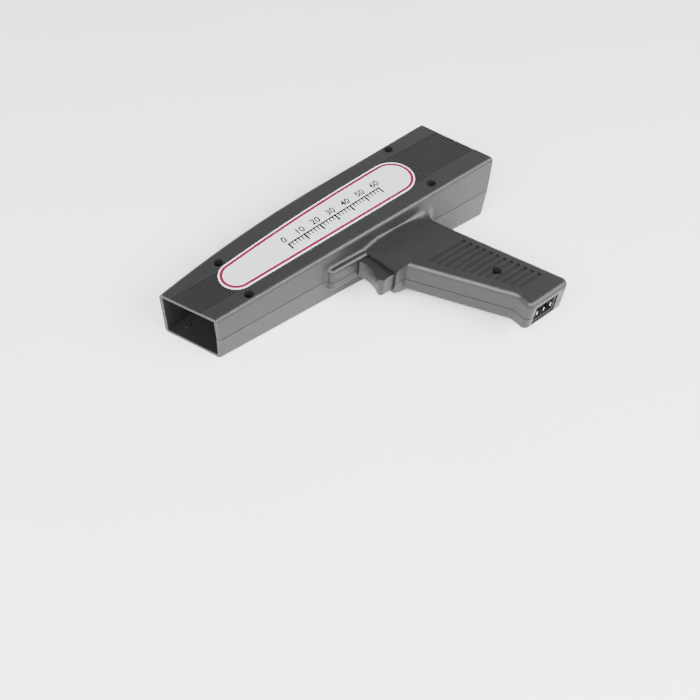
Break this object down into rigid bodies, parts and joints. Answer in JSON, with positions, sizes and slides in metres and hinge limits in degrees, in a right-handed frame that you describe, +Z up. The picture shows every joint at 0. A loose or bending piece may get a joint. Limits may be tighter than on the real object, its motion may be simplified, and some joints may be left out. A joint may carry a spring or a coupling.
{
  "type": "timing light",
  "caption": "Pistol-grip ignition timing light with hooded lens, trigger, rear readout and a lead connector in the grip's end.",
  "frame": {"origin": "middle of the overall box's bottom face, on the ground under the right-hand case half", "axes": "+X along the barrel from the muzzle to the rear readout; +Y from the grip towards the spine; +Z up, out of the labelled left-hand case half, with the tool lying on its right side"},
  "size_m": [0.2466, 0.1634, 0.0544],
  "materials": {
    "case_plastic": "fine-grained moulded charcoal",
    "trigger_plastic": "fine-grained moulded charcoal",
    "label_print": "satin printed film",
    "spring_steel": "drawn wire",
    "switch_plastic": "moulded",
    "key_plastic": "satin",
    "key_accent": "satin",
    "screw_steel": "black zinc",
    "inner_plastic": "moulded black",
    "lens_clear": "polished acrylic",
    "reflector_bright": "vacuum-metallised",
    "tube_glass": "clear quartz",
    "pin_metal": "tinned",
    "winding_copper": "enamelled wire under tape",
    "board_laminate": "solder resist",
    "capacitor_sleeve": "shrunk sleeve",
    "ferrite": "sintered",
    "sink_aluminium": "satin",
    "chip_black": "moulded",
    "header_plastic": "natural nylon",
    "panel_plastic": "fine-grained moulded black",
    "window_tint": "tinted, polished",
    "display_glass": "display face",
    "lead_insulation": "extruded"
  },
  "bodies": {
    "case": {"left_housing": "case_plastic", "right_housing": "case_plastic", "label_plate": "label_print", "trigger_spring": "spring_steel", "trigger_switch": "switch_plastic", "barrel_screws": "screw_steel", "grip_screw": "screw_steel", "lens_ring": "inner_plastic", "lens": "lens_clear", "reflector": "reflector_bright", "flash_tube": "tube_glass", "tube_caps": "pin_metal", "lamp_holder": "inner_plastic", "trigger_coil": "winding_copper", "main_board": "board_laminate", "board_screws": "screw_steel", "flash_capacitor": "capacitor_sleeve", "inverter_core": "ferrite", "inverter_winding": "winding_copper", "heat_sink": "sink_aluminium", "power_transistor": "chip_black", "board_chips": "chip_black", "power_header": "header_plastic", "rear_panel": "panel_plastic", "display_window": "window_tint", "display_module": "display_glass", "display_board": "board_laminate", "key_switches": "switch_plastic", "connector_socket": "inner_plastic", "connector_pins": "pin_metal", "power_harness": "lead_insulation", "lamp_leads": "lead_insulation"},
    "trigger_body": {"trigger": "trigger_plastic"},
    "switch_button_body": {"switch_button": "key_plastic"},
    "minus_button_body": {"minus_button": "key_plastic"},
    "mode_button_body": {"mode_button": "key_accent"},
    "plus_button_body": {"plus_button": "key_plastic"}
  },
  "joints": [
    {"name": "trigger_slide", "type": "slide", "parent": "case", "child": "trigger_body", "axis": [0.9995, 0, 0.033], "range_m": [0, 0.005], "stiffness_N_per_m": 400, "springref_m": -0.003, "deforming": ["trigger_spring"]},
    {"name": "switch_button_slide", "type": "slide", "parent": "case", "child": "switch_button_body", "axis": [0.9995, 0, 0.033], "range_m": [0, 0.005]},
    {"name": "minus_press", "type": "slide", "parent": "case", "child": "minus_button_body", "axis": [-0.9667, -0.2539, -0.0319], "range_m": [0, 0.001], "stiffness_N_per_m": 1500, "springref_m": -0.0005},
    {"name": "mode_press", "type": "slide", "parent": "case", "child": "mode_button_body", "axis": [-0.9667, -0.2539, -0.0319], "range_m": [0, 0.001], "stiffness_N_per_m": 1500, "springref_m": -0.0005},
    {"name": "plus_press", "type": "slide", "parent": "case", "child": "plus_button_body", "axis": [-0.9667, -0.2539, -0.0319], "range_m": [0, 0.001], "stiffness_N_per_m": 1500, "springref_m": -0.0005}
  ],
  "couplings": [
    {"joint": "switch_button_slide", "follows": "trigger_slide", "ratio": 1}
  ]
}
